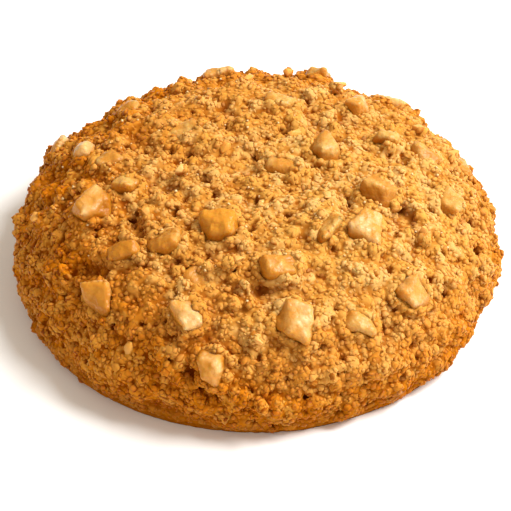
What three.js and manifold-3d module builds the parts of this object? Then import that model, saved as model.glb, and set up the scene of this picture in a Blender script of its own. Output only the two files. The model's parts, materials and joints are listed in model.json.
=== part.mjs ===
// A peanut butter cookie: a thick, domed round of craggy baked dough with chopped peanuts sunk into it.
// Millimetres, +Z up. The origin is the centre of the flat base, and -Y is the front of the cookie.
import * as THREE from "three";
import { ConvexGeometry } from "three/addons/geometries/ConvexGeometry.js";
import { ImprovedNoise } from "three/addons/math/ImprovedNoise.js";
import { mergeVertices } from "three/addons/utils/BufferGeometryUtils.js";
import Module from "manifold-3d";

// Driving dimensions of the dough
const DIAMETER = 76;
const HEIGHT = 23;
const BELLY_HEIGHT = 5; // the widest ring stands this high above the base
const BASE_SHARE = 0.93; // radius of the flat base, as a share of the widest radius
const DOME_POWER = 2.7; // 2 makes the dome a half ellipse, and more makes its shoulder fuller
const RADIUS = DIAMETER / 2;

// Relief of the crust: the span is the size of one feature, and rise and depth run along the surface normal
const SWELL = { span: 13, rise: 1.3 };
const CRAG = { span: 7, depth: 1.0, grooveShare: 0.3 };
const CRUMB = { span: 2.8, rise: 0.45 };
const NOISE_START = new THREE.Vector3(0.37, 0.61, 0.83); // keeps the noise off the zeros of its own grid
const CELL_HASH = new THREE.Vector3(73856093, 19349663, 83492791);
const HOLLOW_FLOOR = 0.15; // the flat bottom of a pit or crack, as a share of its reach
const BASE_FADE = 3; // relief dies away over this height above the base, which stays flat

// Open pits baked into the crust, seen from above: place, radius and depth
const PITS = [
  { x: -29.5, y: -4, radius: 2.2, depth: 2.2 },
  { x: -26.5, y: -20.5, radius: 1.9, depth: 2.0 },
  { x: -22.5, y: -15.5, radius: 1.4, depth: 1.2 },
  { x: -25, y: 9.5, radius: 1.6, depth: 1.2 },
  { x: -13.5, y: -4.5, radius: 1.7, depth: 1.3 },
  { x: -4.5, y: 9.5, radius: 2.0, depth: 1.4 },
  { x: -9, y: -35, radius: 2.0, depth: 2.4 },
  { x: -6.5, y: -37, radius: 1.7, depth: 2.2 },
  { x: 8.5, y: -36, radius: 1.3, depth: 1.1 },
  { x: 1, y: -25, radius: 2.0, depth: 1.4 },
  { x: 20.5, y: -27, radius: 1.8, depth: 1.5 },
  { x: 23, y: -9, radius: 2.2, depth: 1.5 },
  { x: 28, y: 18, radius: 1.7, depth: 1.4 },
  { x: -12, y: 31, radius: 1.8, depth: 1.6 },
  { x: 14, y: 32, radius: 1.6, depth: 1.5 },
];

// Cracks that opened as the dome rose: a route seen from above, half-width and depth
const CRACKS = [
  { route: [[-18.5, -10], [-17, -14.5], [-11.5, -21], [-2.5, -25.5]], reach: 1.7, depth: 1.3 },
  { route: [[-28, -15.5], [-23, -18.5], [-19, -19]], reach: 1.4, depth: 1.1 },
  { route: [[-6.5, -37], [-9.5, -35], [-7.5, -32.5]], reach: 1.3, depth: 1.2 },
  { route: [[20, -8], [24.5, -11]], reach: 1.5, depth: 0.9 },
  { route: [[-22, 24], [-10, 22], [1, 26]], reach: 1.5, depth: 1.0 },
];

// Chopped peanut pieces, seen from above: place, length, width and turn from +X in degrees.
// proud is how far the piece stands above the dough. A pale piece shows its cut inside, others a roasted one.
const NUT_THICKNESS = 0.8; // as a share of the width
const NUT_UNEVENNESS = 0.32; // how far a corner strays, as a share of the piece's size
const NUT_WEDGES = 0.35; // the share of the pieces that lack a corner
const NUT_GAP = 0.45; // room between a piece and the dough it sits in
const NUTS = [
  { x: 6, y: -30, length: 6.2, width: 5.2, turn: -15, proud: 1.7, pale: true },
  { x: 15.5, y: -28, length: 5.4, width: 3.4, turn: -5, proud: 0.9, pale: false },
  { x: 23.5, y: -22, length: 4.6, width: 4.2, turn: -50, proud: 1.5, pale: true },
  { x: -6.5, y: -35, length: 4.4, width: 3.4, turn: 80, proud: 0.8, pale: true },
  { x: -9.5, y: -28.5, length: 4.6, width: 3.6, turn: -60, proud: 1.3, pale: true },
  { x: -23.5, y: -23, length: 5.2, width: 4.6, turn: 70, proud: 1.3, pale: true },
  { x: 4, y: -21.5, length: 6.4, width: 4.2, turn: 10, proud: 1.3, pale: false },
  { x: -8.5, y: -22, length: 4.8, width: 4.0, turn: -40, proud: 1.1, pale: false },
  { x: -19.5, y: -17, length: 4.4, width: 2.8, turn: 10, proud: 0.7, pale: false },
  { x: -13.5, y: -16.5, length: 5.0, width: 3.6, turn: 0, proud: 1.2, pale: false },
  { x: -5, y: -14, length: 4.9, width: 4.4, turn: 10, proud: 1.3, pale: true },
  { x: 10.5, y: -14.5, length: 4.4, width: 3.6, turn: 40, proud: 1.0, pale: false },
  { x: 16.5, y: -13.5, length: 5.4, width: 4.8, turn: 75, proud: 1.6, pale: true },
  { x: -24, y: -7.5, length: 5.6, width: 4.1, turn: 30, proud: 1.3, pale: true },
  { x: 18.5, y: -6, length: 5.2, width: 4.0, turn: -30, proud: 1.2, pale: false },
  { x: 29.5, y: -3.5, length: 4.4, width: 3.6, turn: 60, proud: 0.9, pale: false },
  { x: -19.5, y: -3.5, length: 3.6, width: 2.8, turn: -20, proud: 0.8, pale: false },
  { x: 4, y: 0, length: 5.4, width: 2.9, turn: -20, proud: 1.0, pale: false },
  { x: 10.5, y: 3, length: 5.4, width: 3.6, turn: -55, proud: 0.9, pale: false },
  { x: -22.5, y: 4, length: 4.2, width: 2.4, turn: 15, proud: 0.8, pale: false },
  { x: -26, y: 7, length: 2.9, width: 2.4, turn: 80, proud: 1.1, pale: true },
  { x: 26, y: 6, length: 4.2, width: 2.8, turn: -30, proud: 0.8, pale: false },
  { x: 20, y: 7.5, length: 3.4, width: 2.6, turn: -10, proud: 1.0, pale: false },
  { x: -11.5, y: 7.5, length: 6.4, width: 4.2, turn: 22, proud: 1.1, pale: false },
  { x: 4, y: 15.5, length: 4.6, width: 2.9, turn: -25, proud: 1.0, pale: false },
  { x: 16, y: 17, length: 4.4, width: 3.2, turn: 35, proud: 1.2, pale: true },
  { x: -20, y: 18, length: 4.0, width: 3.0, turn: 50, proud: 0.9, pale: false },
  { x: -31, y: 15, length: 4.4, width: 3.4, turn: -65, proud: 1.1, pale: true },
  { x: -6, y: 28, length: 4.8, width: 3.6, turn: 15, proud: 1.2, pale: true },
  { x: 10, y: 33, length: 4.2, width: 3.4, turn: 70, proud: 1.1, pale: false },
  { x: 22, y: 26, length: 4.6, width: 3.4, turn: -35, proud: 1.2, pale: true },
  { x: 33, y: 12, length: 4.0, width: 3.2, turn: 20, proud: 0.9, pale: false },
];

// Small nut bits baked onto the crust, spread by the golden angle out to a share of the radius.
// Their width and thickness are shares of their length.
const BIT_COUNT = 44;
const BIT_SIZE = { least: 1.7, most: 2.7, width: 0.75, thickness: 0.7 };
const BIT_SPREAD = 0.94;
const BIT_CLEARANCE = 4.6; // a bit whose centre is nearer than this to a nut piece's is left out
const GOLDEN_ANGLE = Math.PI * (3 - Math.sqrt(5));
const BIT_STEPS = { size: 0.618, turn: 0.755 }; // each next bit moves on by this share of the range
const BIT_SEED = 100;

// Fineness of the mesh
const DOUGH_DETAIL = 20;
const OUTLINE_STEPS = 160;
const BASE_AREA_WEIGHT = 0.1; // the flat base takes this share of its fair number of triangles

const wasm = await Module();
wasm.setup();
const perlin = new ImprovedNoise();
const { degToRad, seededRandom, smoothstep, lerp } = THREE.MathUtils;
const UP = new THREE.Vector3(0, 0, 1);

// The dough's half section, from the top of the dome over the belly to the centre of the base.
// Each point holds its radius, its height and the share of the weighted surface area above it.
function doughOutline() {
  const points = [];
  const quarter = Math.PI / 2;
  const baseRadius = RADIUS * BASE_SHARE;
  for (let i = 0; i < OUTLINE_STEPS; i++) {
    const a = (i / OUTLINE_STEPS) * quarter;
    const dome = (HEIGHT - BELLY_HEIGHT) * Math.cos(a);
    points.push({ r: RADIUS * Math.sin(a) ** (2 / DOME_POWER), z: BELLY_HEIGHT + dome, weight: 1 });
  }
  for (let i = 0; i < OUTLINE_STEPS; i++) {
    const a = (i / OUTLINE_STEPS) * quarter;
    const r = baseRadius + (RADIUS - baseRadius) * Math.cos(a);
    points.push({ r, z: BELLY_HEIGHT * (1 - Math.sin(a)), weight: 1 });
  }
  for (let i = 0; i <= OUTLINE_STEPS; i++) {
    points.push({ r: baseRadius * (1 - i / OUTLINE_STEPS), z: 0, weight: BASE_AREA_WEIGHT });
  }
  let area = 0;
  points.forEach((point, i) => {
    const before = points[Math.max(0, i - 1)];
    area += (point.r + before.r) * Math.hypot(point.r - before.r, point.z - before.z) * point.weight;
    point.share = area;
  });
  points.forEach((point) => (point.share /= area));
  return points;
}

const outline = doughOutline();

// A place on the smooth dough, a share of the way down its outline and at an angle round it.
function smoothPlace(share, angle) {
  const i = Math.max(1, outline.findIndex((point) => point.share >= Math.min(share, 1)));
  const [above, below] = [outline[i - 1], outline[i]];
  const t = (share - above.share) / (below.share - above.share || 1);
  const r = lerp(above.r, below.r, t);
  const slope = new THREE.Vector2(below.r - above.r, below.z - above.z).normalize();
  const [c, s] = [Math.cos(angle), Math.sin(angle)];
  return {
    point: new THREE.Vector3(r * c, r * s, lerp(above.z, below.z, t)),
    normal: new THREE.Vector3(-slope.y * c, -slope.y * s, slope.x),
  };
}

// The place on the smooth dome below a point seen from above.
function placeUnder(x, y) {
  const r = Math.hypot(x, y);
  const rim = outline.findIndex((point) => point.r >= r);
  return smoothPlace(outline[rim].share, Math.atan2(y, x));
}

// The crag centre in one cell of a grid of crag spans, drawn by the cell's own seed.
function cragCentre(cell) {
  const seed = (cell.x * CELL_HASH.x) ^ (cell.y * CELL_HASH.y) ^ (cell.z * CELL_HASH.z);
  return new THREE.Vector3(seededRandom(seed), seededRandom(), seededRandom()).add(cell);
}

// Distances from a point to the crag centres round it, nearest first, as shares of the crag span.
function cragDistances(p) {
  const here = p.clone().divideScalar(CRAG.span);
  const cell = here.clone().floor();
  const steps = [-1, 0, 1];
  const distances = [];
  for (const i of steps) {
    for (const j of steps) {
      for (const k of steps) {
        const centre = cragCentre(new THREE.Vector3(i, j, k).add(cell));
        distances.push(centre.distanceTo(here));
      }
    }
  }
  return distances.sort((a, b) => a - b);
}

const pits = PITS.map((pit) => ({ ...pit, centre: placeUnder(pit.x, pit.y).point }));
const cracks = CRACKS.map((crack) => ({
  ...crack,
  pieces: crack.route.slice(1).map((end, i) => {
    const start = crack.route[i];
    return new THREE.Line3(placeUnder(...start).point, placeUnder(...end).point);
  }),
}));

// 1 in the middle of a hollow, falling smoothly to 0 at its reach.
const hollow = (distance, reach) => 1 - smoothstep(distance, HOLLOW_FLOOR * reach, reach);

// Depth of the deepest pit or crack at a point.
function hollowDepth(p) {
  const nearest = new THREE.Vector3();
  const depths = pits.map((pit) => pit.depth * hollow(p.distanceTo(pit.centre), pit.radius));
  for (const crack of cracks) {
    const distances = crack.pieces.map((line) => line.closestPointToPoint(p, true, nearest).distanceTo(p));
    depths.push(crack.depth * hollow(Math.min(...distances), crack.reach));
  }
  return Math.max(...depths);
}

// Height of the crust above the smooth dough at one of its points.
function relief(p) {
  const wave = (span) => perlin.noise(...p.clone().divideScalar(span).add(NOISE_START));
  const [first, second] = cragDistances(p);
  const groove = 1 - smoothstep(second - first, 0, CRAG.grooveShare);
  const rise = SWELL.rise * wave(SWELL.span) + CRUMB.rise * wave(CRUMB.span);
  return (rise - CRAG.depth * groove - hollowDepth(p)) * smoothstep(p.z, 0, BASE_FADE);
}

// Moves a place out along its normal to the crust, plus a further distance.
function onCrust({ point, normal }, further = 0) {
  return point.clone().addScaledVector(normal, relief(point) + further);
}

// A closed geometry of position alone, with its shared vertices merged.
function merged(geometry) {
  geometry.deleteAttribute("normal");
  geometry.deleteAttribute("uv");
  return mergeVertices(geometry);
}

// The dough before anything is sunk into it: a ball of even triangles, drawn over the outline and its relief.
function doughBlank() {
  const geometry = merged(new THREE.IcosahedronGeometry(1, DOUGH_DETAIL));
  const position = geometry.getAttribute("position");
  const onBall = new THREE.Vector3();
  for (let i = 0; i < position.count; i++) {
    onBall.fromBufferAttribute(position, i);
    const place = smoothPlace((1 - onBall.z) / 2, Math.atan2(onBall.y, onBall.x));
    position.setXYZ(i, ...onCrust(place));
  }
  return geometry;
}

// A piece as a knife leaves it: the hull of a box's corners, each moved by chance, brought to unit size.
function choppedPiece(seed) {
  const sides = [-0.5, 0.5];
  const stray = () => NUT_UNEVENNESS * (2 * seededRandom() - 1);
  const corners = [];
  seededRandom(seed);
  for (const x of sides) {
    for (const y of sides) {
      for (const z of sides) corners.push(new THREE.Vector3(x + stray(), y + stray(), z + stray()));
    }
  }
  if (seededRandom() < NUT_WEDGES) corners.splice(Math.floor(seededRandom() * corners.length), 1);
  const geometry = merged(new ConvexGeometry(corners)).center();
  const size = geometry.boundingBox.getSize(new THREE.Vector3());
  return geometry.scale(1 / size.x, 1 / size.y, 1 / size.z);
}

// Turns +Z to the crust's normal at a place and spins about it.
function lyingOn(normal, turn) {
  const upright = new THREE.Quaternion().setFromUnitVectors(UP, normal);
  return upright.multiply(new THREE.Quaternion().setFromAxisAngle(UP, turn));
}

function solidOf(geometry, matrix = new THREE.Matrix4()) {
  const placed = geometry.clone().applyMatrix4(matrix);
  return new wasm.Manifold(
    new wasm.Mesh({
      numProp: 3,
      vertProperties: placed.getAttribute("position").array,
      triVerts: new Uint32Array(placed.index.array),
    }),
  );
}

function geometryOf(solid) {
  const { vertProperties, triVerts } = solid.getMesh();
  const geometry = new THREE.BufferGeometry();
  geometry.setAttribute("position", new THREE.BufferAttribute(vertProperties, 3));
  geometry.setIndex(new THREE.BufferAttribute(triVerts, 1));
  return geometry;
}

const baked = (color, roughness) => new THREE.MeshStandardMaterial({ color, roughness, metalness: 0 });
const doughMaterial = () => baked("#c9843a", 0.75);
const nutMaterial = (pale) => baked(pale ? "#f0cf94" : "#dfa254", 0.5);

// One chopped peanut piece as a mesh, placed on the crust so that its top stands proud of it.
function nutPiece(nut, i) {
  const thickness = nut.width * NUT_THICKNESS;
  const place = placeUnder(nut.x, nut.y);
  const mesh = new THREE.Mesh(choppedPiece(i + 1), nutMaterial(nut.pale));
  mesh.name = `nut_${String(i + 1).padStart(2, "0")}`;
  mesh.scale.set(nut.length, nut.width, thickness);
  mesh.quaternion.copy(lyingOn(place.normal, degToRad(nut.turn)));
  mesh.position.copy(onCrust(place, nut.proud - thickness / 2));
  mesh.updateMatrix();
  return mesh;
}

// The room that a nut piece takes out of the dough: the piece itself, grown by the gap on every side.
function nutPocket(mesh) {
  const grown = mesh.scale.clone().addScalar(2 * NUT_GAP);
  return solidOf(mesh.geometry, new THREE.Matrix4().compose(mesh.position, mesh.quaternion, grown));
}

// The small bits that lie clear of every nut piece, as solids half sunk in the crust.
function nutBits() {
  const bits = [];
  const drawn = (i, step) => (i * step) % 1;
  for (let i = 0; i < BIT_COUNT; i++) {
    const r = RADIUS * BIT_SPREAD * Math.sqrt((i + 0.5) / BIT_COUNT);
    const [x, y] = [r * Math.cos(i * GOLDEN_ANGLE), r * Math.sin(i * GOLDEN_ANGLE)];
    if (NUTS.some((nut) => Math.hypot(nut.x - x, nut.y - y) < BIT_CLEARANCE)) continue;
    const length = lerp(BIT_SIZE.least, BIT_SIZE.most, drawn(i, BIT_STEPS.size));
    const size = new THREE.Vector3(1, BIT_SIZE.width, BIT_SIZE.thickness).multiplyScalar(length);
    const place = placeUnder(x, y);
    const turned = lyingOn(place.normal, 2 * Math.PI * drawn(i, BIT_STEPS.turn));
    const matrix = new THREE.Matrix4().compose(onCrust(place), turned, size);
    bits.push(solidOf(choppedPiece(BIT_SEED + i), matrix));
  }
  return bits;
}

const nuts = NUTS.map(nutPiece);
let dough = solidOf(doughBlank());
for (const bit of nutBits()) dough = dough.add(bit);
for (const nut of nuts) dough = dough.subtract(nutPocket(nut));

const cookie = new THREE.Group();
cookie.name = "peanut_butter_cookie";
const doughMesh = new THREE.Mesh(geometryOf(dough), doughMaterial());
doughMesh.name = "dough";
cookie.add(doughMesh, ...nuts);

// The rough rim is a little off centre, so the middle of the whole is brought over the origin.
const middle = new THREE.Box3().setFromObject(cookie).getCenter(new THREE.Vector3()).setZ(0);
for (const mesh of cookie.children) mesh.position.sub(middle);

export default cookie;
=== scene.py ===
import json
import math

import bpy
import numpy as np
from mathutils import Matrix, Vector
from mathutils.bvhtree import BVHTree
from mathutils.kdtree import KDTree


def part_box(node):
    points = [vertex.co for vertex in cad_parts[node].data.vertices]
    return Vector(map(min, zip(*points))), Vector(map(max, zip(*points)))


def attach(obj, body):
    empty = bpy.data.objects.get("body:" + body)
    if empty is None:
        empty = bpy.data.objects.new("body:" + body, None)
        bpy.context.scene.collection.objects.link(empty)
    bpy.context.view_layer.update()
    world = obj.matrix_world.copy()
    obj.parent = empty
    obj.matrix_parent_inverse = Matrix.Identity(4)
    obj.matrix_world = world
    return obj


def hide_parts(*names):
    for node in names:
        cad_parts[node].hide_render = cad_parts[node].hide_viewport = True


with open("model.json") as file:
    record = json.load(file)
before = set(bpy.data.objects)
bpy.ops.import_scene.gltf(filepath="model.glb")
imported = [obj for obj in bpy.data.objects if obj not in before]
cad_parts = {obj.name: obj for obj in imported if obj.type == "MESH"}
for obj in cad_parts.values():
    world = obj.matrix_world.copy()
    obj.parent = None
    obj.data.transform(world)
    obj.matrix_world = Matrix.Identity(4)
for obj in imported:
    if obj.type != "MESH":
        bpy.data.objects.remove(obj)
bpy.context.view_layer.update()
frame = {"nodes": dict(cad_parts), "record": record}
NODES = frame["nodes"]
SLOT_OF = {part["node"]: part["material_slot"] for part in frame["record"]["subparts"]}

# Sizes are in millimetres, unless a comment says otherwise
MM = 0.001
SEED = 7  # each thing left to chance adds a number of its own
RADIUS = 38.0
DOME_RADII = np.array([RADIUS, RADIUS, 22.0])  # of the rounded body that the cookie is nearest to
MERGE = 0.001  # points nearer to each other than this are one

# The dough and its relief
DOUGH_GRID = 0.40
SWELL_SPAN, SWELL_RISE = 4.5, 0.80
CLUMP_SPAN, CLUMP_DEPTH = 6.0, 0.70
PORE_SPAN, PORE_DEPTH = 1.5, 1.1
CLUMP_GROOVES = [(0.02, 1), (0.30, 0)]  # how the grooves between clumps fade out, as stops of a ramp
PORE_MOUTHS = [(0.66, 0), (0.78, 1)]  # how the pores set in
CRUMB_ROOM = 0.30  # the dough is taken back by this much, and the crumbs stand out from it
BASE_EDGE = (-0.98, -0.85)  # the relief grows from nothing to full between these values of the normal's z
NUT_RIM = (0.5, 1.6)  # and between these distances from a nut piece
SIDE_SHARE = 0.6  # the share of the broad relief that is left low on the sides
SIDE_HEIGHTS = (6.0, 15.0)  # between these heights it grows to all of it

# The crust: the dough with lumps of crumb grown together with it
CRUST_GRID = 0.23
CRUST_TRIANGLES = 197000
FOOT_CUT = 0.2  # cut off at the foot to make it flat
CLOSE_RUN, DOUGH_RUN, CRUST_RUN = 10, 60, 90  # rounds of smoothing that give a surface's general run

# The crust's sheet for its colours, in shares of a square
SHEET_HEIGHT = 3.0  # the dome is laid out by angle about a point at this height on its axis
SHEET_ANGLE = math.radians(100)
DOME_SHEET, DOME_MIDDLE = 0.40, 0.41  # radius and place of the dome
BASE_SHEET, BASE_MIDDLE = 0.085, 0.91  # radius and place of the base
BASE_LEAN = -0.98  # a face of the base looks down at least this much
GRAIN_SHEET = 0.46  # radius of a grain in its own square
GRAIN_POLE = 0.02  # corners nearer to a grain's axis than this take their direction from the face

# Kinds of crumb and sugar. count is the greatest number kept, and tries the number of places tried for it.
# least and most are lengths, fade the heights between which a kind sets in, lowest its least height,
# deepest the hollow that it stays out of, and gap its distance from the nut pieces.
# width, thickness, room (between two of them) and rise (out of the surface) are shares of the length,
# and tilt is how far they lean by chance.
TOP_LUMPS = dict(
    count=2500, tries=30000, least=1.60, most=2.80, width=(0.7, 1.0), thickness=(0.7, 1.0), tilt=0.4,
    room=0.82, rise=0.23, fade=(4.0, 9.0), lowest=0.5, deepest=0.6, gap=0.0,
)
SIDE_LUMPS = dict(
    count=2500, tries=30000, least=1.50, most=2.60, width=(0.6, 0.9), thickness=(0.65, 0.95), tilt=0.4,
    room=0.82, rise=0.12, fade=(14.0, 7.0), lowest=0.5, deepest=0.6, gap=0.0,
)
SIDE_CRUMBS = dict(
    count=2450, tries=30000, least=1.10, most=2.00, width=(0.6, 0.9), thickness=(0.6, 0.9), tilt=0.4,
    room=0.75, rise=0.15, fade=(17.0, 11.0), lowest=1.0, deepest=0.5, gap=0.1,
)
GRAINS = dict(
    count=9900, tries=220000, least=0.75, most=1.60, width=(0.5, 0.95), thickness=(0.6, 0.9), tilt=0.3,
    room=0.68, rise=0.20, fade=(0.5, 3.0), lowest=0.8, deepest=0.45, gap=0.05,
)
SUGAR = dict(
    count=130, tries=2000, least=0.22, most=0.36, width=(0.7, 1.0), thickness=(0.6, 1.0), tilt=0.4,
    room=1.0, rise=0.86, fade=(14.0, 20.0), lowest=1.2, deepest=0.05, gap=0.05,
)
PEBBLE_SHAPES, CHUNK_SHAPES, CRYSTAL_SHAPES = 16, 8, 5  # how many grains of each sort are modelled
RISE_SPREAD = (0.7, 1.3)  # a grain's rise varies by these factors
TONE_SPREAD = 0.15  # and its tone by this much from the crust's
TABLE_ROOM = 0.70  # least height over the table, as a share of the length
FOOT_RISE, FOOT_HEIGHT = 0.4, 3.0  # a grain has this share of its rise at the foot, and all higher up

# Peanut pieces, and the small bits that are spread as those of the solid dough are
NUT_GRID = 0.24
NUT_GROWTH = 0.40  # fills the room that the solids leave between dough and nut
CHIP_SPAN, CHIP_DEPTH = 2.4, 0.60
NUT_GRAIN_SPAN, NUT_GRAIN_DEPTH = 0.8, 0.22
SHADED_FLANK_WAY = np.array([-0.7, -0.4, -0.5])  # the side, away from the key light, on which the pieces are painted browner as shade, more or less
FLANK_SPREAD = 0.4
NUT_BITS = dict(
    count=44, least=1.7, most=2.7, width=(0.6, 0.9), thickness=(0.6, 0.85), tilt=0.4, rise=0.30,
)
BIT_SPREAD = 0.94  # share of the radius that they cover
BIT_CLEARANCE = 4.6  # from the middle of a nut piece
BIT_SIZE_STEP = 0.618  # each next bit moves on by this share of the range of lengths
GOLDEN_ANGLE = math.pi * (3 - math.sqrt(5))
ABOVE = 40.0  # a height above the whole cookie

# Baking, and painted shade on the left, the side away from the key light
BROWNING_AND_SHADE_LEAN = (0.19, -0.10, 1.0)  # the way in which the crust grows paler: upwards, as baking leaves it, and towards the right and a little the front, which paints shade on the left
BROWNING_HEIGHTS = (30, 15)  # along that way it is pale from the first on and brown up to the second
PATCH_SPAN, PATCH_REACH = 9.0, 10.0  # patches of this span move that edge by up to this much
MOTTLE_SPAN, BUBBLE_SPAN, GRIT_SPAN = 4.0, 0.85, 0.45
FOOT_BROWN = 8  # the foot is browner up to this height
BASE_FADE = (0.20, 0.05)  # the colour of the base sets in between these heights
GRIT = (0.35, 0.65)  # the range of the fine grit that the finishes use
# Some of these paints are painted shade: the colours for low dough, crevices, pits, grooves on the base and
# the foot of a bit, the side colours where they reach the left, and the nut toast where it lies on the flank
# away from the key light.
PAINTS = {
    "top crumb": "#cb9344", "pale top crumb": "#d1a562",
    "side crumb": "#be6f10", "pale side crumb": "#cb8a34",
    "top dough in shade": "#b0742a", "side dough in shade": "#803c02", "mottle": "#a25a08", "foot": "#8c4c06",
    "crevice": "#823402", "top pit": "#602804", "side pit": "#4a1800",
    "base": "#a8702c", "browned base": "#8c4c0a", "base groove shade": "#7a3c06",
    "pale nut": "#d2ae74", "pale nut toast": "#c68324", "pale nut smear": "#ac6a14",
    "roasted nut": "#c89c54", "roasted nut toast": "#b8761c", "roasted nut smear": "#a46212",
    "pale bit": "#e2b268", "tan bit": "#d39338", "bit foot shade": "#a86018", "bit mottle": "#d9953c",
    "pale sugar": "#e4c690", "tan sugar": "#d8ac62",
}

# Table, light and camera. The camera's place is the one that the cookie's outline in the photograph gives.
TABLE_SIZE = 6000.0
TABLE_GAP = 0.05  # the table lies this far under the base, so that the two faces don't coincide
KEY_LAMP = dict(place=(410, 20, 510), size=400, watts=7.4)
FILL_LAMP = dict(place=(-200, -600, 500), size=500, watts=0.8)
ROOM_COLOUR, ROOM_STRENGTH = (1, 0.87, 0.69, 1), 0.55
PHOTO_SIDE = 511
CAMERA_ELEVATION = math.radians(40.8)
CAMERA_DISTANCE = 420.0
PIXELS_PER_MM = 6.476
AIM = Vector((0, -2.2, 5.5))  # the camera looks at this point


# Handling of pieces

def take_up(piece):
    """Makes one piece the only selected and active object."""
    bpy.ops.object.select_all(action="DESELECT")
    piece.select_set(True)
    bpy.context.view_layer.objects.active = piece


def work(piece, kind, **settings):
    """Adds a modifier with these settings to a piece and applies it."""
    take_up(piece)
    modifier = piece.modifiers.new(kind.title(), kind)
    for name, value in settings.items():
        setattr(modifier, name, value)
    bpy.ops.object.modifier_apply(modifier=modifier.name)


def copy_of(piece):
    """A second piece with a mesh of its own."""
    copy = piece.copy()
    copy.data = piece.data.copy()
    bpy.context.scene.collection.objects.link(copy)
    return copy


def joined(pieces):
    """Several pieces as one, which is the first of them."""
    bpy.ops.object.select_all(action="DESELECT")
    for piece in pieces:
        piece.select_set(True)
    bpy.context.view_layer.objects.active = pieces[0]
    bpy.ops.object.join()
    return pieces[0]


def cast_from(name, node):
    """A new piece that starts as a copy of a CAD solid, with its loose triangles merged."""
    piece = bpy.data.objects.new(name, NODES[node].data.copy())
    piece.data.name = name
    piece.data.materials.clear()
    bpy.context.scene.collection.objects.link(piece)
    take_up(piece)
    bpy.ops.object.mode_set(mode="EDIT")
    bpy.ops.mesh.select_all(action="SELECT")
    bpy.ops.mesh.remove_doubles(threshold=MERGE * MM)
    bpy.ops.object.mode_set(mode="OBJECT")
    return piece


def places(piece):
    """The piece's vertices as rows of x, y and z in metres."""
    found = np.empty(len(piece.data.vertices) * 3, np.float32)
    piece.data.vertices.foreach_get("co", found)
    return found.reshape(-1, 3).astype(float)


def normals(piece):
    """The way out of the surface at each vertex."""
    found = np.empty(len(piece.data.vertices) * 3, np.float32)
    piece.data.vertex_normals.foreach_get("vector", found)
    return found.reshape(-1, 3).astype(float)


def put(piece, name, values):
    """Stores one number for each vertex under a name that a material can read."""
    layer = piece.data.attributes.get(name) or piece.data.attributes.new(name, "FLOAT", "POINT")
    layer.data.foreach_set("value", np.asarray(values, np.float32))


def get(piece, name):
    """The numbers that put stored under that name."""
    found = np.empty(len(piece.data.vertices), np.float32)
    piece.data.attributes[name].data.foreach_get("value", found)
    return found


def put_sheet(piece, uv):
    """Stores where each corner of the piece's faces lies on the flat sheet of its colours."""
    layer = piece.data.uv_layers.new(name="OFBake")
    layer.data.foreach_set("uv", uv.astype(np.float32).ravel())


def smooth_rise(values, low, high):
    """0 at low, 1 at high and an easy curve between."""
    t = np.clip((values - low) / (high - low), 0, 1)
    return t * t * (3 - 2 * t)


# The crust

def relief_texture(name, kind, span, stops=None, **settings):
    """A texture for carving relief, with features of that span in millimetres."""
    texture = bpy.data.textures.new(name, kind)
    texture.noise_scale = span * MM
    for key, value in settings.items():
        setattr(texture, key, value)
    if stops:
        texture.use_color_ramp = True
        ramp = texture.color_ramp
        ramp.interpolation = "EASE"
        for element, (place, shade) in zip(ramp.elements, stops):
            element.position = place
            element.color = (shade, shade, shade, 1)
    return texture


def bake_crust(nuts):
    """The dough with its relief, and the lumps of its top and sides grown together into one crust."""
    dough = shape_dough(nuts)
    lumps = [top_lumps(dough, nuts), side_lumps(dough, nuts)]
    lump_places = np.concatenate([places(piece) for piece in lumps])
    lump_tones = np.concatenate([get(piece, "tone") for piece in lumps])
    crust = joined([dough, *lumps])
    work(crust, "REMESH", mode="VOXEL", voxel_size=CRUST_GRID * MM)
    work(crust, "SMOOTH", factor=0.35, iterations=1)
    work(crust, "TRIANGULATE")
    work(crust, "DECIMATE", ratio=CRUST_TRIANGLES / len(crust.data.polygons))
    flatten_foot(crust)
    work(crust, "TRIANGULATE")
    mark_depth(crust, "hollow", CRUST_RUN)
    mark_depth(crust, "crevice", CLOSE_RUN)
    mark_tones(crust, lump_places, lump_tones)
    bpy.ops.object.shade_smooth()
    map_crust(crust)
    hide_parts("dough")
    return crust


def shape_dough(nuts):
    """The solid dough with swells, grooves between its clumps, and pores."""
    dough = cast_from("crust", "dough")
    work(dough, "REMESH", mode="VOXEL", voxel_size=DOUGH_GRID * MM)
    work(dough, "SMOOTH", factor=0.5, iterations=5)
    weigh_relief(dough, nuts)
    swells = relief_texture("swells", "CLOUDS", SWELL_SPAN, noise_depth=1)
    clumps = relief_texture("clumps", "VORONOI", CLUMP_SPAN, CLUMP_GROOVES, weight_1=-1.0, weight_2=1.0)
    pores = relief_texture("pores", "CLOUDS", PORE_SPAN, PORE_MOUTHS, noise_depth=1)
    broad = dict(vertex_group="broad_relief", texture_coords="LOCAL")
    fine = dict(vertex_group="fine_relief", texture_coords="LOCAL")
    work(dough, "DISPLACE", texture=swells, strength=SWELL_RISE * MM, mid_level=0.5, **broad)
    work(dough, "DISPLACE", texture=clumps, strength=-CLUMP_DEPTH * MM, mid_level=0.0, **broad)
    work(dough, "DISPLACE", texture=pores, strength=-PORE_DEPTH * MM, mid_level=0.0, **fine)
    work(dough, "DISPLACE", strength=-CRUMB_ROOM * MM, mid_level=0.0, vertex_group="fine_relief")
    mark_depth(dough, "hollow", DOUGH_RUN)
    return dough


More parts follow.
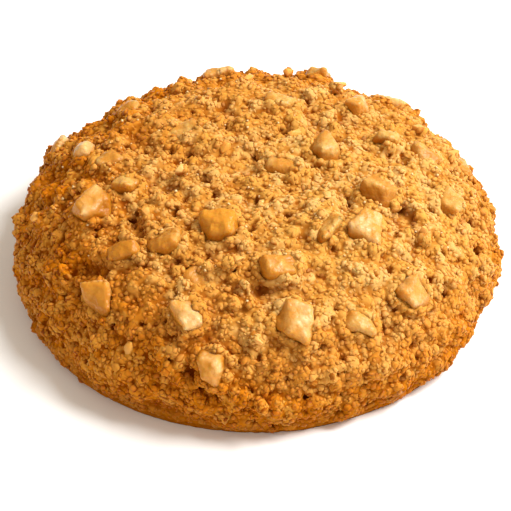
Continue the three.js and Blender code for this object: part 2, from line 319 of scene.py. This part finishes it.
def weigh_relief(dough, nuts):
    """The relief fades out towards the base and the nut pieces. Its broad forms are calmer on the sides."""
    tree = BVHTree.FromObject(nuts, bpy.context.evaluated_depsgraph_get())
    at = places(dough)
    gap = np.array([tree.find_nearest(Vector(point))[3] for point in at]) / MM
    weights = smooth_rise(normals(dough)[:, 2], *BASE_EDGE) * smooth_rise(gap, *NUT_RIM)
    calmer = SIDE_SHARE + (1 - SIDE_SHARE) * smooth_rise(at[:, 2] / MM, *SIDE_HEIGHTS)
    fine = dough.vertex_groups.new(name="fine_relief")
    broad = dough.vertex_groups.new(name="broad_relief")
    for index, weight in enumerate(weights):
        fine.add([index], weight, "REPLACE")
        broad.add([index], weight * calmer[index], "REPLACE")


def flatten_foot(crust):
    """Cuts the base off flat, just above the table, closes it with one face and sets that face down."""
    take_up(crust)
    bpy.ops.object.mode_set(mode="EDIT")
    bpy.ops.mesh.select_all(action="SELECT")
    bpy.ops.mesh.bisect(
        plane_co=(0, 0, FOOT_CUT * MM), plane_no=(0, 0, 1), threshold=MERGE * MM,
        clear_inner=True, use_fill=True,
    )
    bpy.ops.transform.translate(value=(0, 0, -FOOT_CUT * MM))
    bpy.ops.object.mode_set(mode="OBJECT")


def mark_depth(piece, name, rounds):
    """Stores how deep each point lies under the piece's general run, in millimetres. More rounds of
    smoothing make the general run broader."""
    general = copy_of(piece)
    work(general, "SMOOTH", factor=0.5, iterations=rounds)
    sunk = ((places(general) - places(piece)) * normals(general)).sum(axis=1) / MM
    bpy.data.objects.remove(general)
    put(piece, name, sunk)
    take_up(piece)


def mark_tones(crust, lump_places, lump_tones):
    """Gives each point of the crust the tone of the lump that is nearest to it."""
    tree = KDTree(len(lump_places))
    for index, point in enumerate(lump_places):
        tree.insert(point, index)
    tree.balance()
    put(crust, "tone", [lump_tones[tree.find(point)[1]] for point in places(crust)])


def map_crust(crust):
    """Lays the dome out flat from its top, as a round sheet, with the base as a small round beside it."""
    mesh = crust.data
    at = places(crust) / MM
    reach = np.hypot(at[:, 0], at[:, 1])
    turn = np.arctan2(at[:, 1], at[:, 0])
    down = np.arctan2(reach, at[:, 2] - SHEET_HEIGHT) / SHEET_ANGLE * DOME_SHEET
    corners = np.empty(len(mesh.loops), np.int32)
    mesh.loops.foreach_get("vertex_index", corners)
    dome = np.stack([np.cos(turn), np.sin(turn)], 1) * down[:, None] + DOME_MIDDLE
    uv = dome[corners]
    for polygon in mesh.polygons:
        if polygon.normal.z < BASE_LEAN and polygon.center.z < FOOT_CUT * MM:
            span = list(polygon.loop_indices)
            uv[span] = at[corners[span], :2] / RADIUS * BASE_SHEET + BASE_MIDDLE
            polygon.use_smooth = False
    put_sheet(crust, uv)


# Shapes of crumbs, nut bits and sugar

def new_ball(subdivisions):
    """A round piece of unit length."""
    bpy.ops.object.select_all(action="DESELECT")
    bpy.ops.mesh.primitive_ico_sphere_add(subdivisions=subdivisions, radius=0.5)
    return bpy.context.active_object


def new_block():
    """A square piece of unit length."""
    bpy.ops.object.select_all(action="DESELECT")
    bpy.ops.mesh.primitive_cube_add(size=1.0)
    return bpy.context.active_object


def roughen(**amounts):
    """Goes into edit mode and moves the active piece's corners by chance."""
    bpy.ops.object.mode_set(mode="EDIT")
    bpy.ops.mesh.select_all(action="SELECT")
    bpy.ops.transform.vertex_random(**amounts)


def pebbles(subdivisions, roughness, wear, seed):
    """Uneven grains of unit length, each modelled once: their vertices and triangles."""
    made = []
    for i in range(PEBBLE_SHAPES):
        grain = new_ball(subdivisions)
        roughen(offset=roughness, uniform=0.0, normal=0.6, seed=seed + i)
        bpy.ops.mesh.vertices_smooth(factor=wear)
        bpy.ops.object.mode_set(mode="OBJECT")
        made.append(shape_of(grain))
    return made


def chunks(seed):
    """Uneven lumps with flat faces and worn edges, as chopped nuts have."""
    made = []
    for i in range(CHUNK_SHAPES):
        chunk = new_ball(subdivisions=1)
        roughen(offset=0.18, uniform=1.0, normal=0.0, seed=seed + i)
        bpy.ops.mesh.convex_hull()
        bpy.ops.object.mode_set(mode="OBJECT")
        work(chunk, "BEVEL", width=0.05, segments=2, limit_method="ANGLE", angle_limit=math.radians(25))
        made.append(shape_of(chunk))
    return made


def crystals(seed):
    """Small blocks with uneven corners, as sugar has."""
    made = []
    for i in range(CRYSTAL_SHAPES):
        block = new_block()
        roughen(offset=0.12, uniform=0.0, normal=0.3, seed=seed + i)
        bpy.ops.object.mode_set(mode="OBJECT")
        made.append(shape_of(block))
    return made


def shape_of(piece):
    """Takes a modelled piece away and gives its vertices and triangles, to be copied many times."""
    piece.data.calc_loop_triangles()
    made = places(piece), np.array([t.vertices[:] for t in piece.data.loop_triangles])
    bpy.data.objects.remove(piece)
    return made


# Strewing them

class Spots:
    """Places on a piece, drawn evenly by area: position, normal, hollow and a tone near the piece's own."""

    def __init__(self, crust, count, lowest, draw):
        mesh = crust.data
        mesh.calc_loop_triangles()
        corners = np.empty(len(mesh.loop_triangles) * 3, np.int32)
        mesh.loop_triangles.foreach_get("vertices", corners)
        corners = corners.reshape(-1, 3)
        at = places(crust)
        a, b, c = (at[corners[:, i]] for i in range(3))
        area = np.linalg.norm(np.cross(b - a, c - a), axis=1)
        area[a[:, 2] < lowest * MM] = 0
        chosen = draw.choice(len(area), count, p=area / area.sum())
        u = np.sqrt(draw.random(count))[:, None]
        v = draw.random(count)[:, None]
        self.at = a[chosen] * (1 - u) + b[chosen] * u * (1 - v) + c[chosen] * u * v
        lean = normals(crust)[corners[chosen]].mean(axis=1)
        self.normal = lean / np.linalg.norm(lean, axis=1)[:, None]
        self.hollow = get(crust, "hollow")[corners[chosen]].mean(axis=1)
        self.tone = draw.random(count)
        if "tone" in mesh.attributes:
            near = get(crust, "tone")[corners[chosen]].mean(axis=1)
            self.tone = near + draw.uniform(-TONE_SPREAD, TONE_SPREAD, count)

    @classmethod
    def given(cls, at, normal, draw):
        """Places that are known already, on open crust."""
        spots = cls.__new__(cls)
        spots.at, spots.normal = at, normal
        spots.hollow, spots.tone = np.zeros(len(at)), draw.random(len(at))
        return spots

    def keep(self, wanted):
        """Leaves out all places but the wanted ones."""
        self.at, self.normal = self.at[wanted], self.normal[wanted]
        self.hollow, self.tone = self.hollow[wanted], self.tone[wanted]


def spaced_out(at, rooms):
    """Picks rows one after the other, leaving out any that is nearer to a picked one than its own room."""
    cell = rooms.max()
    steps = [(x, y, z) for x in (-1, 0, 1) for y in (-1, 0, 1) for z in (-1, 0, 1)]
    taken = {}
    picked = []
    for i, (point, room) in enumerate(zip(at, rooms)):
        x, y, z = (point // cell).astype(int)
        near = [j for dx, dy, dz in steps for j in taken.get((x + dx, y + dy, z + dz), ())]
        if near and (((at[near] - point) ** 2).sum(axis=1) < room * room).any():
            continue
        taken.setdefault((x, y, z), []).append(i)
        picked.append(i)
    return np.array(picked)


def clear_of(spots, nuts, gap):
    """Which spots lie outside every nut piece, with a gap in millimetres."""
    tree = BVHTree.FromObject(nuts, bpy.context.evaluated_depsgraph_get())
    found = []
    for point in spots.at:
        near, normal, _, distance = tree.find_nearest(Vector(point))
        outside = (Vector(point) - near).dot(normal) > 0
        found.append(outside and distance > gap * MM)
    return np.array(found)


def strewn_on(crust, nuts, name, kind, shapes, seed):
    """A piece of one kind of crumb or sugar, spread over the crust where that kind may lie."""
    draw = np.random.default_rng(seed)
    spots = Spots(crust, kind["tries"], kind["lowest"], draw)
    spots.keep(spots.hollow < kind["deepest"])
    spots.keep(clear_of(spots, nuts, kind["gap"]))
    wanted = smooth_rise(spots.at[:, 2] / MM, *kind["fade"])
    spots.keep(draw.random(len(wanted)) < wanted)
    length = draw.uniform(kind["least"], kind["most"], len(spots.at)) * MM
    standing = spots.at[:, 2] > TABLE_ROOM * length
    spots.keep(standing)
    length = length[standing]
    picked = spaced_out(spots.at, length * kind["room"])[: kind["count"]]
    spots.keep(picked)
    return strew(name, shapes, spots, length[picked], kind, draw)


def strew(name, shapes, spots, length, kind, draw):
    """One piece of many grains: each lies on its spot, turned and tilted by chance, and stands out by about
    the kind's rise."""
    count = len(length)
    turned = turned_by_chance(spots.normal, kind["tilt"], draw)
    shares = [np.ones(count), draw.uniform(*kind["width"], count), draw.uniform(*kind["thickness"], count)]
    scale = length[:, None] * np.stack(shares, axis=1)
    at_foot = FOOT_RISE + (1 - FOOT_RISE) * smooth_rise(spots.at[:, 2] / MM, 0, FOOT_HEIGHT)
    height = kind["rise"] * length * at_foot * draw.uniform(*RISE_SPREAD, count) - scale[:, 2] / 2
    middle = spots.at + spots.normal * height[:, None]
    chosen = draw.integers(len(shapes), size=count)
    squares = math.ceil(math.sqrt(count))
    points, faces, uv = [], [], []
    marks = {"tone": [], "lift": [], "hollow": []}
    start = 0
    for k, (shape, triangles) in enumerate(shapes):
        mine = np.flatnonzero(chosen == k)
        placed = np.einsum("nij,nvj->nvi", turned[mine], shape[None] * scale[mine][:, None])
        points.append((placed + middle[mine][:, None]).reshape(-1, 3))
        firsts = np.arange(len(mine)) * len(shape) + start
        faces.append((triangles[None] + firsts[:, None, None]).reshape(-1, 3))
        start += len(mine) * len(shape)
        raised = np.einsum("nvi,ni->nv", placed, spots.normal[mine])
        marks["tone"].append(np.repeat(spots.tone[mine], len(shape)))
        marks["lift"].append((raised / (0.5 * length[mine])[:, None]).ravel())
        marks["hollow"].append(np.repeat(spots.hollow[mine], len(shape)))
        square = np.stack([mine % squares, mine // squares], 1)
        uv.append(((square[:, None, None] + round_sheet(shape, triangles)[None]) / squares).reshape(-1, 2))
    piece = piece_from(name, np.concatenate(points), np.concatenate(faces))
    for mark, values in marks.items():
        put(piece, mark, np.concatenate(values))
    put_sheet(piece, np.concatenate(uv))
    return piece


def turned_by_chance(normal, tilt, draw):
    """How each grain is turned: two ways along the surface and one out of it, with some tilt."""
    out = normal + tilt * draw.normal(size=normal.shape)
    out /= np.linalg.norm(out, axis=1)[:, None]
    along = np.cross(out, draw.normal(size=normal.shape))
    along /= np.linalg.norm(along, axis=1)[:, None]
    return np.stack([along, np.cross(out, along), out], axis=2)


def round_sheet(shape, triangles):
    """Each corner of a grain's triangles on a round sheet of its own, laid out from the grain's top."""
    corner = shape[triangles]
    middle = corner.mean(axis=1, keepdims=True) + np.zeros_like(corner)
    flat = np.where(np.hypot(corner[..., :1], corner[..., 1:2]) < GRAIN_POLE, middle, corner)
    turn = np.arctan2(flat[..., 1], flat[..., 0])
    height = corner[..., 2] / np.linalg.norm(corner, axis=-1)
    down = np.arccos(np.clip(height, -1, 1)) / math.pi * GRAIN_SHEET
    return np.stack([0.5 + down * np.cos(turn), 0.5 + down * np.sin(turn)], axis=-1).reshape(-1, 2)


def piece_from(name, points, faces):
    """A smooth piece made of these points and triangles."""
    mesh = bpy.data.meshes.new(name)
    mesh.from_pydata(points, [], faces.tolist())
    mesh.update()
    piece = bpy.data.objects.new(name, mesh)
    bpy.context.scene.collection.objects.link(piece)
    take_up(piece)
    bpy.ops.object.shade_smooth()
    return piece


def top_lumps(dough, nuts):
    shapes = pebbles(subdivisions=2, roughness=0.16, wear=0.3, seed=SEED)
    return strewn_on(dough, nuts, "top_lumps", TOP_LUMPS, shapes, SEED)


def side_lumps(dough, nuts):
    shapes = pebbles(subdivisions=2, roughness=0.16, wear=0.3, seed=SEED + 80)
    return strewn_on(dough, nuts, "side_lumps", SIDE_LUMPS, shapes, SEED + 4)


def scatter_side_crumbs(crust, nuts):
    shapes = pebbles(subdivisions=2, roughness=0.20, wear=0.3, seed=SEED + 30)
    return strewn_on(crust, nuts, "side_crumbs", SIDE_CRUMBS, shapes, SEED + 7)


def scatter_grains(crust, nuts):
    shapes = pebbles(subdivisions=1, roughness=0.16, wear=0.0, seed=SEED + 10)
    return strewn_on(crust, nuts, "grains", GRAINS, shapes, SEED + 5)


def scatter_sugar(crust, nuts):
    return strewn_on(crust, nuts, "sugar", SUGAR, crystals(SEED + 40), SEED + 2)


# Peanut pieces

def cut_nuts(name, slot):
    """All nut pieces of one slot as one piece, each with a broken, uneven surface."""
    nodes = [node for node in sorted(NODES) if SLOT_OF[node] == slot]
    draw = np.random.default_rng(len(nodes))
    chips = relief_texture("chips", "VORONOI", CHIP_SPAN)
    grain = relief_texture("grain", "CLOUDS", NUT_GRAIN_SPAN, noise_depth=1)
    carve = dict(mid_level=0.5, texture_coords="LOCAL")
    made = []
    for node in nodes:
        nut = cast_from(name, node)
        work(nut, "REMESH", mode="VOXEL", voxel_size=NUT_GRID * MM)
        work(nut, "SMOOTH", factor=0.5, iterations=5)
        work(nut, "DISPLACE", strength=NUT_GROWTH * MM, mid_level=0.0)
        work(nut, "DISPLACE", texture=chips, strength=CHIP_DEPTH * MM, **carve)
        work(nut, "DISPLACE", texture=grain, strength=NUT_GRAIN_DEPTH * MM, **carve)
        mark_nut(nut, draw)
        made.append(nut)
    nuts = joined(made)
    nuts.name = nuts.data.name = name
    bpy.ops.object.shade_smooth()
    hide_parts(*nodes)
    return nuts


def outward(at):
    """The way out of the rounded body that the cookie is nearest to, at one place."""
    way = np.array(at) / DOME_RADII ** 2
    return way / np.linalg.norm(way)


def mark_nut(nut, draw):
    """Stores the roast of a nut piece, how far each point faces its shaded flank, the side away from the key
    light that is painted browner as shade, from -1 to 1, and how far it lies under the top, square to the
    dome, in millimetres."""
    at = places(nut) / MM
    shaded_flank = SHADED_FLANK_WAY + draw.normal(size=3) * FLANK_SPREAD
    height = at @ outward(at.mean(axis=0))
    put(nut, "roast", np.full(len(at), draw.random()))
    put(nut, "shaded_flank", normals(nut) @ (shaded_flank / np.linalg.norm(shaded_flank)))
    put(nut, "sunk", height.max() - height)


def scatter_bits(crust):
    """Small nut bits on the crust, at the places where the solid dough has them."""
    draw = np.random.default_rng(SEED + 3)
    tree = BVHTree.FromObject(crust, bpy.context.evaluated_depsgraph_get())
    boxes = [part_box(node) for node in NODES if node != "dough"]
    middles = [(low + high) / 2 / MM for low, high in boxes]
    at, normal, length = [], [], []
    for i in range(NUT_BITS["count"]):
        reach = RADIUS * BIT_SPREAD * math.sqrt((i + 0.5) / NUT_BITS["count"])
        spot = Vector((reach * math.cos(i * GOLDEN_ANGLE), reach * math.sin(i * GOLDEN_ANGLE), ABOVE))
        if min((middle.xy - spot.xy).length for middle in middles) < BIT_CLEARANCE:
            continue
        hit = tree.ray_cast(spot * MM, Vector((0, 0, -1)))[0]
        at.append(hit)
        normal.append(outward(hit))
        share = i * BIT_SIZE_STEP % 1
        length.append((NUT_BITS["least"] + (NUT_BITS["most"] - NUT_BITS["least"]) * share) * MM)
    spots = Spots.given(np.array(at), np.array(normal), draw)
    return strew("nut_bits", chunks(SEED + 60), spots, np.array(length), NUT_BITS, draw)


# Finishes

def paint(name):
    """One of the paints as a colour for a shader, by the usual formula for screen colours."""
    code = PAINTS[name]
    shares = [int(code[i:i + 2], 16) / 255 for i in (1, 3, 5)]
    return [s / 12.92 if s <= 0.04045 else ((s + 0.055) / 1.055) ** 2.4 for s in shares] + [1.0]


class Recipe:
    """A node tree and short ways of adding to it."""

    MIX_INPUTS, MIX_RESULT = (0, 6, 7), 2  # a mix node's sockets for colours

    def __init__(self, tree):
        self.tree = tree

    def add(self, kind, settings=None, **inputs):
        """A new node with these settings and inputs."""
        node = self.tree.nodes.new(kind)
        for name, value in (settings or {}).items():
            setattr(node, name, value)
        for name, value in inputs.items():
            self.feed(node.inputs[name.replace("_", " ")], value)
        return node

    def feed(self, socket, value):
        """Gives an input its value, or links it to an output."""
        if isinstance(value, bpy.types.NodeSocket):
            self.tree.links.new(value, socket)
        else:
            socket.default_value = value

    def read(self, name):
        """What put stored on the piece under that name."""
        return self.add("ShaderNodeAttribute", {"attribute_name": name}).outputs["Fac"]

    def span(self, value, low, high, to_low=0.0, to_high=1.0):
        """Takes the range from low to high to another one, on an easy curve."""
        node = self.add("ShaderNodeMapRange", {"interpolation_type": "SMOOTHSTEP"})
        names = ("Value", "From Min", "From Max", "To Min", "To Max")
        for name, number in zip(names, (value, low, high, to_low, to_high)):
            self.feed(node.inputs[name], number)
        return node.outputs["Result"]

    def reckon(self, kind, *values):
        """A sum, difference or product of values."""
        node = self.add("ShaderNodeMath", {"operation": kind})
        for socket, value in zip(node.inputs, values):
            self.feed(socket, value)
        return node.outputs[0]

    def blend(self, share, first, second):
        """The first colour, with that share of the second."""
        node = self.add("ShaderNodeMix", {"data_type": "RGBA"})
        for index, value in zip(self.MIX_INPUTS, (share, first, second)):
            self.feed(node.inputs[index], value)
        return node.outputs[self.MIX_RESULT]

    def noise(self, where, span, detail):
        """Uneven values with features of that span in millimetres."""
        node = self.add("ShaderNodeTexNoise", Vector=where, Scale=1 / (span * MM), Detail=detail)
        return node.outputs["Fac"]


def oven_group():
    """What the oven did to every surface, with painted shade: browner sides, and browner still on the left,
    which is painted shade on the side away from the key light; a dark foot and base, mottle, fine grit and
    small bubbles."""
    tree = bpy.data.node_groups.new("oven_browning_and_shade", "ShaderNodeTree")
    for name in ("BrownedAndShaded", "Foot", "Base", "Mottle", "Grit", "Bubble"):
        tree.interface.new_socket(name, in_out="OUTPUT", socket_type="NodeSocketFloat")
    mix = Recipe(tree)
    where = mix.add("ShaderNodeTexCoord").outputs["Object"]
    # Along this lean the left side turns browner: painted shade away from the key light.
    lean = mix.add("ShaderNodeVectorMath", {"operation": "DOT_PRODUCT"})
    mix.feed(lean.inputs[0], where)
    mix.feed(lean.inputs[1], BROWNING_AND_SHADE_LEAN)
    patches = mix.noise(where, PATCH_SPAN, 3.0)
    patchy = mix.reckon("MULTIPLY_ADD", patches, PATCH_REACH * MM, lean.outputs["Value"])
    height = mix.add("ShaderNodeSeparateXYZ", Vector=where).outputs["Z"]
    cells = mix.add("ShaderNodeTexVoronoi", {"feature": "SMOOTH_F1"}, Vector=where, Smoothness=0.4)
    mix.feed(cells.inputs["Scale"], 1 / (BUBBLE_SPAN * MM))
    marks = {
        "BrownedAndShaded": mix.span(patchy, *(edge * MM for edge in BROWNING_HEIGHTS)),
        "Foot": mix.span(height, FOOT_BROWN * MM, 0),
        "Base": mix.span(height, *(edge * MM for edge in BASE_FADE)),
        "Mottle": mix.span(mix.noise(where, MOTTLE_SPAN, 3.0), 0.36, 0.64),
        "Grit": mix.noise(where, GRIT_SPAN, 2.0),
        "Bubble": mix.span(cells.outputs["Distance"], 0.75, 0.0),
    }
    out = mix.add("NodeGroupOutput")
    for name, value in marks.items():
        mix.feed(out.inputs[name], value)
    return tree


def finish_of(name):
    """A new material: the recipe that it starts with, its shader and the oven's marks."""
    material = bpy.data.materials.new(name)
    material.use_nodes = True
    mix = Recipe(material.node_tree)
    shader = material.node_tree.nodes["Principled BSDF"]
    oven = mix.add("ShaderNodeGroup", {"node_tree": OVEN})
    return material, mix, shader, oven.outputs


def relief_normal(mix, shader, height, distance, strength):
    """Fine relief of that many millimetres, as light falls on it."""
    bump = mix.add("ShaderNodeBump", Height=height, Distance=distance * MM, Strength=strength)
    mix.feed(shader.inputs["Normal"], bump.outputs["Normal"])


def soften(shader, weight, depths, gloss):
    """Lets light sink in to these depths of red, green and blue in millimetres, and sets the gloss."""
    shader.inputs["Subsurface Weight"].default_value = weight
    shader.inputs["Subsurface Radius"].default_value = [depth * MM for depth in depths]
    shader.inputs["Subsurface Scale"].default_value = 1.0
    shader.inputs["Specular IOR Level"].default_value = gloss


def baked_tone(mix, oven, raised):
    """Baked dough: paler where it stands out and darker low down, as painted shade; browner on sides and
    foot.
    """
    tone = mix.span(mix.read("tone"), 0.2, 1.0)
    top = mix.blend(tone, paint("top crumb"), paint("pale top crumb"))
    side = mix.blend(tone, paint("side crumb"), paint("pale side crumb"))
    high = mix.blend(oven["BrownedAndShaded"], top, side)
    low = mix.blend(oven["BrownedAndShaded"], paint("top dough in shade"), paint("side dough in shade"))
    low = mix.blend(mix.span(oven["Mottle"], 0, 1, 0.0, 0.35), low, paint("mottle"))
    # Painted shade: low places take the darker colours, raised places the paler ones.
    colour = mix.blend(raised, low, high)
    return mix.blend(mix.span(oven["Foot"], 0, 1, 0.0, 0.6), colour, paint("foot"))


def crust_finish():
    material, mix, shader, oven = finish_of("baked_crust")
    # Painted shade: bubble tops and raised places are paler, creases darker.
    standing = mix.reckon("SUBTRACT", mix.reckon("MULTIPLY", oven["Bubble"], 0.16), mix.read("crevice"))
    colour = baked_tone(mix, oven, mix.span(standing, -0.08, 0.14))
    # Painted shade in the crevices.
    colour = mix.blend(mix.span(mix.read("crevice"), 0.02, 0.22), colour, paint("crevice"))
    # Painted shade in the pits and hollows, darker on the sides.
    pit = mix.blend(oven["BrownedAndShaded"], paint("top pit"), paint("side pit"))
    colour = mix.blend(mix.span(mix.read("hollow"), 0.30, 1.0), colour, pit)
    base = mix.blend(oven["Mottle"], paint("base"), paint("browned base"))
    # Painted shade in the grooves between the base's bubbles.
    base = mix.blend(mix.span(oven["Bubble"], 0.6, 0.1, 0.0, 0.6), base, paint("base groove shade"))
    mix.feed(shader.inputs["Base Color"], mix.blend(oven["Base"], colour, base))
    mix.feed(shader.inputs["Roughness"], mix.span(oven["Grit"], *GRIT, 0.40, 0.62))
    grit = mix.reckon("MULTIPLY", oven["Grit"], 0.3)
    relief_normal(mix, shader, mix.reckon("ADD", oven["Bubble"], grit), distance=0.14, strength=0.4)
    soften(shader, weight=0.25, depths=(1.0, 0.5, 0.2), gloss=0.0)
    return material


def crumb_finish(name, gloss):
    """Crumb painted pale on its top and brown where it meets the crust, and darker in hollows: painted
    shade.
    """
    material, mix, shader, oven = finish_of(name)
    colour = baked_tone(mix, oven, mix.span(mix.read("lift"), 0.20, 0.68))
    # Painted shade in the hollows.
    colour = mix.blend(mix.span(mix.read("hollow"), 0.0, 0.7, 0.0, 0.9), colour, paint("crevice"))
    mix.feed(shader.inputs["Base Color"], colour)
    mix.feed(shader.inputs["Roughness"], mix.span(oven["Grit"], *GRIT, 0.28, 0.48))
    relief_normal(mix, shader, oven["Grit"], distance=0.06, strength=0.30)
    soften(shader, weight=0.40, depths=(0.8, 0.4, 0.15), gloss=gloss)
    return material


def nut_finish(kind, roast):
    """A cut nut: pale where it was cut, toasted in patches, painted with the toast colour as shade on the
    flank away from the key light and between its bubbles, and darker towards the crust. roast is how far the
    toast goes on the least and the most roasted piece."""
    material, mix, shader, oven = finish_of(f"{kind}_peanut")
    cut, toast_and_shade, sunk_tone = paint(f"{kind} nut"), paint(f"{kind} nut toast"), paint(f"{kind} nut smear")
    # Painted shade: the flank away from the key light takes the toast colour.
    toast_and_shade_share = mix.reckon("ADD", mix.read("shaded_flank"), mix.span(mix.read("roast"), 0, 1, *roast))
    colour = mix.blend(mix.span(toast_and_shade_share, -0.4, 0.5), cut, toast_and_shade)
    colour = mix.blend(mix.span(oven["Mottle"], 0, 1, 0.0, 0.8), colour, toast_and_shade)
    # Painted shade in the grooves between bubbles.
    colour = mix.blend(mix.span(oven["Bubble"], 0.5, 0.1, 0.0, 0.35), colour, toast_and_shade)
    # Darker towards the crust, by how far a point lies under the top.
    colour = mix.blend(mix.span(mix.read("sunk"), 0.6, 2.2), colour, sunk_tone)
    mix.feed(shader.inputs["Base Color"], colour)
    mix.feed(shader.inputs["Roughness"], mix.span(oven["Grit"], *GRIT, 0.28, 0.46))
    bubble = mix.reckon("MULTIPLY", oven["Bubble"], 0.5)
    relief_normal(mix, shader, mix.reckon("ADD", bubble, oven["Grit"]), distance=0.20, strength=0.6)
    soften(shader, weight=0.40, depths=(1.2, 0.5, 0.15), gloss=0.25)
    return material


def bit_finish():
    material, mix, shader, oven = finish_of("nut_bit")
    colour = mix.blend(mix.read("tone"), paint("pale bit"), paint("tan bit"))
    # Painted shade: the lower part of each bit, where it meets the crust, is darker.
    colour = mix.blend(mix.span(mix.read("lift"), 0.2, -0.4), colour, paint("bit foot shade"))
    colour = mix.blend(mix.span(oven["Mottle"], 0.2, 1, 0.0, 0.4), colour, paint("bit mottle"))
    mix.feed(shader.inputs["Base Color"], colour)
    mix.feed(shader.inputs["Roughness"], mix.span(oven["Mottle"], 0, 1, 0.36, 0.55))
    relief_normal(mix, shader, oven["Grit"], distance=0.08, strength=0.35)
    soften(shader, weight=0.25, depths=(1.4, 0.7, 0.3), gloss=0.35)
    return material


def sugar_finish():
    material, mix, shader, oven = finish_of("sugar_grain")
    colour = mix.blend(mix.read("tone"), paint("pale sugar"), paint("tan sugar"))
    mix.feed(shader.inputs["Base Color"], colour)
    mix.feed(shader.inputs["Roughness"], mix.span(oven["Grit"], 0.3, 0.7, 0.30, 0.50))
    return material


def dress(piece, material):
    """Gives a piece its finish and the body that it goes with."""
    piece.data.materials.clear()
    piece.data.materials.append(material)
    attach(piece, "root")


# Table, light and camera

def lay_table():
    bpy.ops.object.select_all(action="DESELECT")
    bpy.ops.mesh.primitive_plane_add(size=TABLE_SIZE * MM, location=(0, 0, -TABLE_GAP * MM))
    bpy.ops.object.transform_apply(location=True, rotation=False, scale=False)
    table = bpy.context.active_object
    table.name = "table"
    material = bpy.data.materials.new("table_white")
    material.use_nodes = True
    shader = material.node_tree.nodes["Principled BSDF"]
    shader.inputs["Base Color"].default_value = (0.95, 0.95, 0.95, 1)
    shader.inputs["Roughness"].default_value = 0.8
    table.data.materials.append(material)


def hang_lamp(name, place, size, watts):
    """A round lamp that looks at the cookie."""
    lamp = bpy.data.lights.new(name, "AREA")
    lamp.shape = "DISK"
    lamp.size = size * MM
    lamp.energy = watts
    holder = bpy.data.objects.new(name, lamp)
    holder.location = Vector(place) * MM
    holder.rotation_euler = (-Vector(place)).to_track_quat("-Z", "Y").to_euler()
    bpy.context.scene.collection.objects.link(holder)


def light_studio():
    world = bpy.data.worlds.new("studio")
    bpy.context.scene.world = world
    world.use_nodes = True
    background = world.node_tree.nodes["Background"]
    background.inputs["Color"].default_value = ROOM_COLOUR
    background.inputs["Strength"].default_value = ROOM_STRENGTH
    hang_lamp("key", **KEY_LAMP)
    hang_lamp("fill", **FILL_LAMP)
    bpy.context.scene.view_settings.view_transform = "Standard"


def set_camera():
    camera = bpy.data.cameras.new("camera")
    camera.sensor_width = 36.0
    camera.lens = PIXELS_PER_MM * CAMERA_DISTANCE * camera.sensor_width / PHOTO_SIDE
    camera.clip_start = 0.01
    holder = bpy.data.objects.new("camera", camera)
    back = Vector((0, -math.cos(CAMERA_ELEVATION), math.sin(CAMERA_ELEVATION)))
    holder.location = (AIM + back * CAMERA_DISTANCE) * MM
    holder.rotation_euler = back.to_track_quat("Z", "Y").to_euler()
    bpy.context.scene.collection.objects.link(holder)
    bpy.context.scene.camera = holder


OVEN = oven_group()
pale_nuts = cut_nuts("pale_peanuts", "nut_pale")
roasted_nuts = cut_nuts("roasted_peanuts", "nut_roasted")
all_nuts = joined([copy_of(roasted_nuts), copy_of(pale_nuts)])  # only for keeping crumbs off them
crust = bake_crust(all_nuts)
side_crumbs = scatter_side_crumbs(crust, all_nuts)
grains = scatter_grains(crust, all_nuts)
sugar = scatter_sugar(crust, all_nuts)
nut_bits = scatter_bits(crust)
bpy.data.objects.remove(all_nuts)

dress(crust, crust_finish())
dress(side_crumbs, crumb_finish("side_crumb", gloss=0.03))
dress(grains, crumb_finish("grain", gloss=0.09))
dress(sugar, sugar_finish())
dress(nut_bits, bit_finish())
dress(pale_nuts, nut_finish("pale", roast=(-0.7, 0.1)))
dress(roasted_nuts, nut_finish("roasted", roast=(-0.5, 0.3)))

lay_table()
light_studio()
set_camera()
